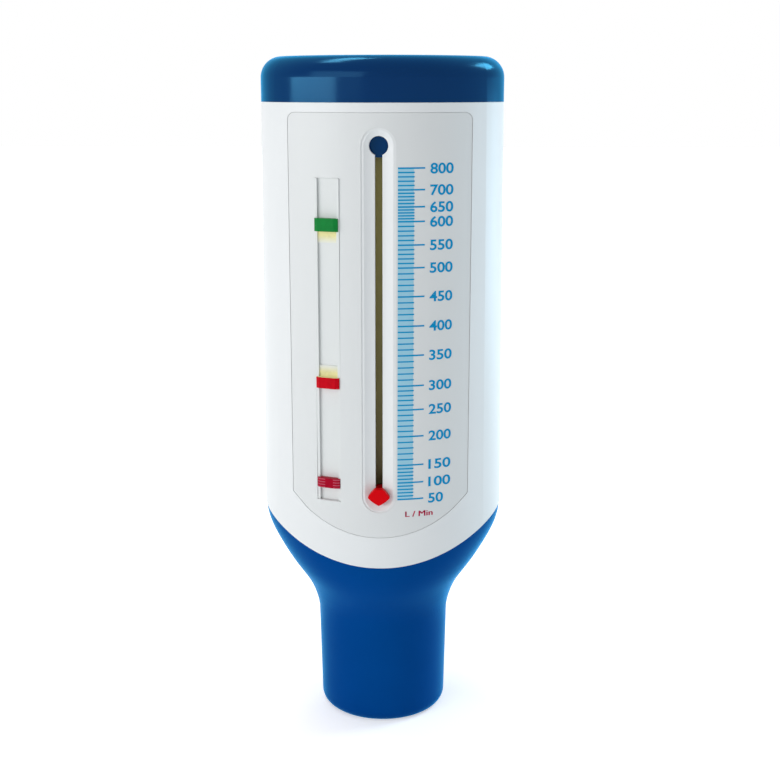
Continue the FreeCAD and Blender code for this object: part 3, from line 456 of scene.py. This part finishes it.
def shoulder_share(z):
    """How much of its CAD width the shoulder keeps at a height, averaged over 3 mm."""
    last = len(SHOULDER_SHARES) - 1
    total = 0.0
    for k in range(-AVERAGED_EACH_WAY, AVERAGED_EACH_WAY + 1):
        steps_up = (z + AVERAGED_STEP * k - SHOULDER_FOOT) / SHOULDER_PITCH
        steps_up = min(max(steps_up, 0), last - 0.001)
        step = int(steps_up)
        part = steps_up - step
        total += SHOULDER_SHARES[step] * (1 - part) + SHOULDER_SHARES[step + 1] * part
    return total / (2 * AVERAGED_EACH_WAY + 1)


def edge_height(x):
    """The height of the casing's arched lower edge."""
    return EDGE_LOW + EDGE_RADIUS - math.sqrt(EDGE_RADIUS ** 2 - x ** 2)


def narrowed_mouthpiece():
    made = bmesh.new()
    made.from_mesh(nodes["mouthpiece"].data)
    bmesh.ops.remove_doubles(made, verts=made.verts, dist=SAME_POINT)
    for cut in range(CUTS):
        level = (SHOULDER_FOOT + cut * CUT_PITCH) * MM
        bmesh.ops.bisect_plane(made, geom=made.verts[:] + made.edges[:] + made.faces[:],
                               plane_co=(0, 0, level), plane_no=(0, 0, 1))
    for vertex in made.verts:
        x, y, z = (value / MM for value in vertex.co)
        inside = math.hypot(x, y) < INNER_RADIUS or z > edge_height(x) + EDGE_MARGIN
        if z < SHOULDER_FOOT or inside:
            continue
        x *= shoulder_share(z)
        vertex.co = Vector((x, y, min(z, edge_height(x) - EDGE_GAP))) * MM
    mesh = finished("mouthpiece_shell", made)
    normals = mesh.attributes.get("custom_normal")
    if normals is not None:
        mesh.attributes.remove(normals)
    mesh.shade_smooth()
    mesh.set_sharp_from_angle(angle=math.radians(SHARP_ANGLE))
    return mesh


shell = add_piece("mouthpiece_shell", narrowed_mouthpiece(), "housing", blue)
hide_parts("mouthpiece")


# The spring, a fine coil of round wire in place of the plain one, in metres

SPRING_TURNS = 28
SPRING_RADIUS = 0.0046
SPRING_WIRE = 0.0002
STEPS_PER_TURN = 20
WIRE_SIDES = 6


def spring_coil(low, high):
    made = bmesh.new()
    total = SPRING_TURNS * STEPS_PER_TURN
    rise = high - low - 2 * SPRING_WIRE
    rings = []
    for step in range(total + 1):
        angle = 2 * math.pi * step / STEPS_PER_TURN
        outward = Vector((math.cos(angle), math.sin(angle), 0))
        centre = outward * SPRING_RADIUS + Vector((0, 0, low + SPRING_WIRE + rise * step / total))
        ring = []
        for side in range(WIRE_SIDES):
            tilt = 2 * math.pi * side / WIRE_SIDES
            ring.append(made.verts.new(centre + outward * (math.cos(tilt) * SPRING_WIRE)
                                       + Vector((0, 0, math.sin(tilt) * SPRING_WIRE))))
        rings.append(ring)
    for first, second in zip(rings, rings[1:]):
        for k in range(WIRE_SIDES):
            after = (k + 1) % WIRE_SIDES
            made.faces.new((first[k], first[after], second[after], second[k]))
    made.faces.new(rings[0])
    made.faces.new(rings[-1])
    bmesh.ops.recalc_face_normals(made, faces=made.faces)
    for face in made.faces:
        face.smooth = len(face.verts) == 4
    return finished("spring_coil", made)


spring_low, spring_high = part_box("return_spring")
bottom, top = spring_low[2], spring_high[2]
spring = add_piece("spring_coil", spring_coil(bottom, top), "housing", spring_steel)
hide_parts("return_spring")
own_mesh(spring)


# Lamps: place, aim, width and height in metres, power in watts, colour

LAMPS = {
    "key": ((-0.66, -0.82, 0.42), (0, 0, 0.08), (0.9, 0.5), 2.9, (1, 1, 1)),
    "left_window": ((-0.77, -0.45, 0.17), (0, 0, 0.14), (0.70, 0.08), 1.6, (1, 1, 1)),
    "right_strip": ((0.58, 0.24, 0.065), (0, 0, 0.06), (0.30, 0.12), 1.0, (0.5, 0.8, 1)),
    "top": ((-0.22, 0.17, 0.84), (0, 0, 0.15), (0.42, 0.12), 1.7, (1, 1, 1)),
    "back_right": ((0.62, 0.34, 0.60), (0, 0, 0.15), (0.3, 0.25), 3.0, (0.75, 0.92, 1)),
}


def aimed(thing, direction):
    thing.rotation_mode = "QUATERNION"
    thing.rotation_quaternion = direction.to_track_quat("-Z", "Y")


for name, (spot, aim, size, power, color) in LAMPS.items():
    light = bpy.data.lights.new(name, "AREA")
    light.shape = "RECTANGLE"
    light.size, light.size_y = size
    light.energy = power
    light.color = color
    lamp = bpy.data.objects.new(name, light)
    collection.objects.link(lamp)
    lamp.location = spot
    aimed(lamp, Vector(aim) - Vector(spot))


# World and floor, white where they are seen and dimmer where they only light the part

WORLD_COLOR = (0.93, 0.96, 1.0, 1)
WORLD_LEVEL = 0.48
FLOOR_HALF = 3
FLOOR_COLOR = (0.9, 0.9, 0.9, 1)
GLOW_NEAR = 0.03
GLOW_FAR = 0.4
GLOW_LOW = 0.45
GLOW_FULL = 1.0


def seen_directly(tree):
    """1 for rays of the camera and for mirrored and transmitted ones."""
    paths = tree.nodes.new("ShaderNodeLightPath")
    total = paths.outputs["Is Camera Ray"]
    for ray in ("Is Glossy Ray", "Is Transmission Ray"):
        total = computed(tree, "MAXIMUM", total, paths.outputs[ray])
    return total


world = bpy.data.worlds.new("studio")
scene.world = world
world.use_nodes = True
tree = world.node_tree
background = tree.nodes["Background"]
background.inputs["Color"].default_value = WORLD_COLOR
background.inputs["Strength"].default_value = WORLD_LEVEL
seen = tree.nodes.new("ShaderNodeBackground")
seen.inputs["Color"].default_value = (1, 1, 1, 1)
seen.inputs["Strength"].default_value = 1.0
mix = tree.nodes.new("ShaderNodeMixShader")
tree.links.new(seen_directly(tree), mix.inputs[0])
tree.links.new(background.outputs[0], mix.inputs[1])
tree.links.new(seen.outputs[0], mix.inputs[2])
tree.links.new(mix.outputs[0], tree.nodes["World Output"].inputs["Surface"])

paint = bpy.data.materials.new("floor_paint")
paint.use_nodes = True
shader = shader_of(paint)
shader.inputs["Base Color"].default_value = FLOOR_COLOR
shader.inputs["Roughness"].default_value = 0.9
shader.inputs["Specular IOR Level"].default_value = 0.1
tree = paint.node_tree
distance = tree.nodes.new("ShaderNodeVectorMath")
distance.operation = "LENGTH"
tree.links.new(place(tree), distance.inputs[0])
level = spread(tree, distance.outputs["Value"], GLOW_LOW, GLOW_FULL, GLOW_NEAR, GLOW_FAR)
glow = tree.nodes.new("ShaderNodeEmission")
glow.inputs["Color"].default_value = (1, 1, 1, 1)
tree.links.new(computed(tree, "MULTIPLY", seen_directly(tree), level), glow.inputs["Strength"])
both = tree.nodes.new("ShaderNodeAddShader")
tree.links.new(shader.outputs[0], both.inputs[0])
tree.links.new(glow.outputs[0], both.inputs[1])
tree.links.new(both.outputs[0], tree.nodes["Material Output"].inputs["Surface"])

corners = [(x * FLOOR_HALF, y * FLOOR_HALF, 0) for x, y in ((-1, -1), (1, -1), (1, 1), (-1, 1))]
floor_mesh = bpy.data.meshes.new("floor")
floor_mesh.from_pydata(corners, [], [(0, 1, 2, 3)])
floor_mesh.materials.append(paint)
floor = bpy.data.objects.new("floor", floor_mesh)
collection.objects.link(floor)


# Camera, as fitted to the photo's edges

SENSOR_MM = 36.0
FOCAL_PX = 1288.4
LONG_SIDE_PX = 781

camera_data = bpy.data.cameras.new("camera")
camera_data.sensor_width = SENSOR_MM
camera_data.lens = SENSOR_MM * FOCAL_PX / LONG_SIDE_PX
camera_data.clip_start = 0.01
camera_data.clip_end = 20
camera = bpy.data.objects.new("camera", camera_data)
collection.objects.link(camera)
camera.location = (0.0119, -0.29629, 0.14764)
aimed(camera, Vector((-0.03346, 0.97285, -0.2288)))
scene.camera = camera

scene.view_settings.view_transform = "Standard"
